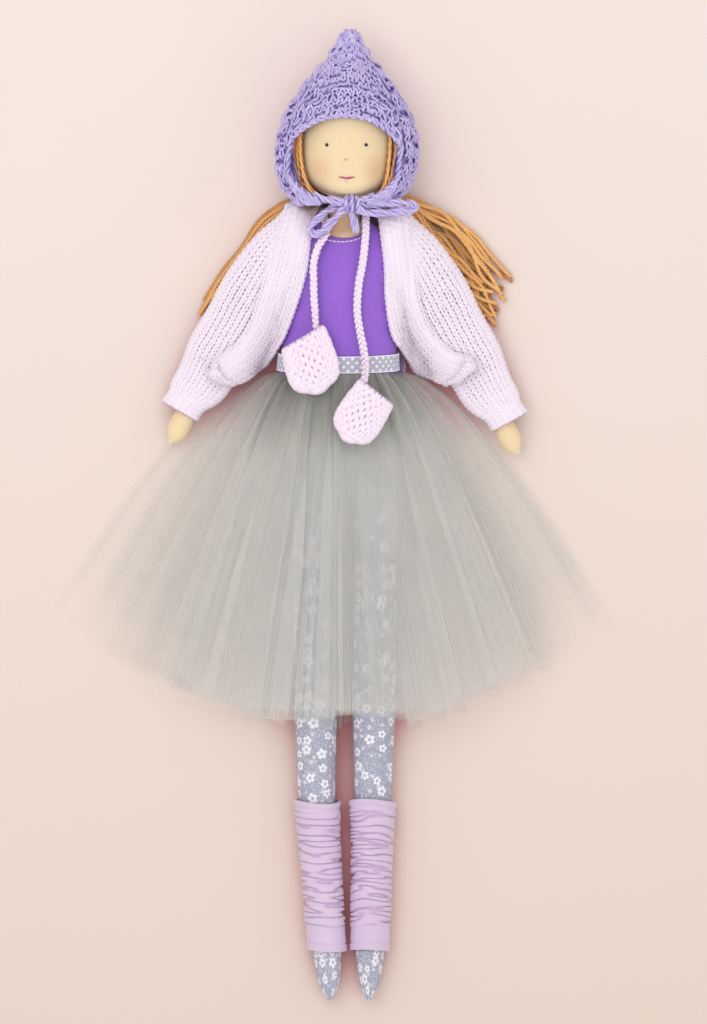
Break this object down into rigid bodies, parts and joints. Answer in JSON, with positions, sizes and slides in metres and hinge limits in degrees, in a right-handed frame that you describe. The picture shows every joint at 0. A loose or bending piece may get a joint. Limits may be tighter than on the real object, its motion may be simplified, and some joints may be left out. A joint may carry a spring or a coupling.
{
  "type": "cloth doll",
  "caption": "Long-legged stuffed cloth doll lying on its back, with yarn hair, knitted bonnet and open cardigan, tulle skirt, leg warmers and mittens on a cord.",
  "frame": {"origin": "on the flat underside of the cardigan's back, under the middle of the doll's back", "axes": "+Y towards the head, +Z out of the doll's front, +X towards the right of a viewer who looks down on it"},
  "size_m": [0.3106, 0.5436, 0.0651],
  "materials": {
    "skin_cloth": "cream-tan cotton",
    "stuffing": "white polyester wadding",
    "purple_cotton": "fine plain weave",
    "pale_thread": "sewing thread",
    "dark_thread": "embroidery thread",
    "nose_thread": "embroidery thread",
    "mouth_thread": "embroidery thread",
    "hair_yarn": "plied yarn",
    "bonnet_yarn": "chunky textured knit",
    "cardigan_yarn": "stockinette knit",
    "mitten_yarn": "crochet",
    "dotted_ribbon": "woven ribbon with pale dots",
    "tulle": "fine net in many layers",
    "print_cloth": "cotton with small white daisies",
    "jersey": "scrunched jersey"
  },
  "bodies": {
    "torso": {"torso_skin": "skin_cloth", "torso_filling": "stuffing", "sleeveless_top": "purple_cotton", "neckline_stitching": "pale_thread", "waist_ribbon": "dotted_ribbon", "shoulder_thread": "pale_thread", "head_skin": "skin_cloth", "head_filling": "stuffing", "eye_left": "dark_thread", "eye_right": "dark_thread", "nose_stitch": "nose_thread", "mouth_stitch": "mouth_thread", "hair_crown": "hair_yarn", "hair_bunch_left": "hair_yarn", "hair_bunch_right": "hair_yarn", "bonnet": "bonnet_yarn", "bonnet_tie_left": "bonnet_yarn", "bonnet_tie_right": "bonnet_yarn", "bow_knot": "bonnet_yarn", "bow_loop_left": "bonnet_yarn", "bow_loop_right": "bonnet_yarn", "bow_tail": "bonnet_yarn", "cardigan_back": "cardigan_yarn", "cardigan_front_left": "cardigan_yarn", "cardigan_front_right": "cardigan_yarn", "mitten_cord": "mitten_yarn", "tulle_back": "tulle", "tulle_front_left": "tulle", "tulle_front_right": "tulle", "hip_thread_left": "pale_thread", "hip_thread_right": "pale_thread"},
    "arm_left": {"arm_skin_left": "skin_cloth", "arm_filling_left": "stuffing", "cardigan_sleeve_left": "cardigan_yarn"},
    "leg_left": {"leg_skin_left": "print_cloth", "leg_filling_left": "stuffing"},
    "leg_warmer_left": {"leg_warmer_left": "jersey"},
    "mitten_left": {"mitten_left": "mitten_yarn"},
    "arm_right": {"arm_skin_right": "skin_cloth", "arm_filling_right": "stuffing", "cardigan_sleeve_right": "cardigan_yarn"},
    "leg_right": {"leg_skin_right": "print_cloth", "leg_filling_right": "stuffing"},
    "leg_warmer_right": {"leg_warmer_right": "jersey"},
    "mitten_right": {"mitten_right": "mitten_yarn"}
  },
  "joints": [
    {"name": "shoulder_left", "type": "hinge", "parent": "torso", "child": "arm_left", "pos_m": [-0.0314, 0.037, 0.0256], "axis": [-1, 0, 0], "range_deg": [0, 120], "deforming": ["cardigan_front_left"]},
    {"name": "shoulder_right", "type": "hinge", "parent": "torso", "child": "arm_right", "pos_m": [0.0314, 0.037, 0.0256], "axis": [-1, 0, 0], "range_deg": [0, 120], "deforming": ["cardigan_front_right", "bow_loop_right"]},
    {"name": "hip_left", "type": "hinge", "parent": "torso", "child": "leg_left", "pos_m": [-0.0175, -0.097, 0.0256], "axis": [-1, 0, 0], "range_deg": [0, 90], "deforming": ["tulle_front_left"]},
    {"name": "hip_right", "type": "hinge", "parent": "torso", "child": "leg_right", "pos_m": [0.0175, -0.097, 0.0256], "axis": [-1, 0, 0], "range_deg": [0, 90], "deforming": ["tulle_front_right"]},
    {"name": "mitten_swing_left", "type": "hinge", "parent": "torso", "child": "mitten_left", "pos_m": [-0.0156, -0.0188, 0.055], "axis": [0, 0, -1], "range_deg": [0, 25]},
    {"name": "mitten_swing_right", "type": "hinge", "parent": "torso", "child": "mitten_right", "pos_m": [0.0106, -0.0464, 0.055], "axis": [0, 0, 1], "range_deg": [0, 50]},
    {"name": "leg_warmer_slide_left", "type": "slide", "parent": "leg_left", "child": "leg_warmer_left", "axis": [0.0691, -0.9975, -0.0142], "range_m": [0, 0.116], "deforming": ["leg_warmer_left"]},
    {"name": "leg_warmer_slide_right", "type": "slide", "parent": "leg_right", "child": "leg_warmer_right", "axis": [-0.0195, -0.9997, -0.0142], "range_m": [0, 0.116]}
  ]
}
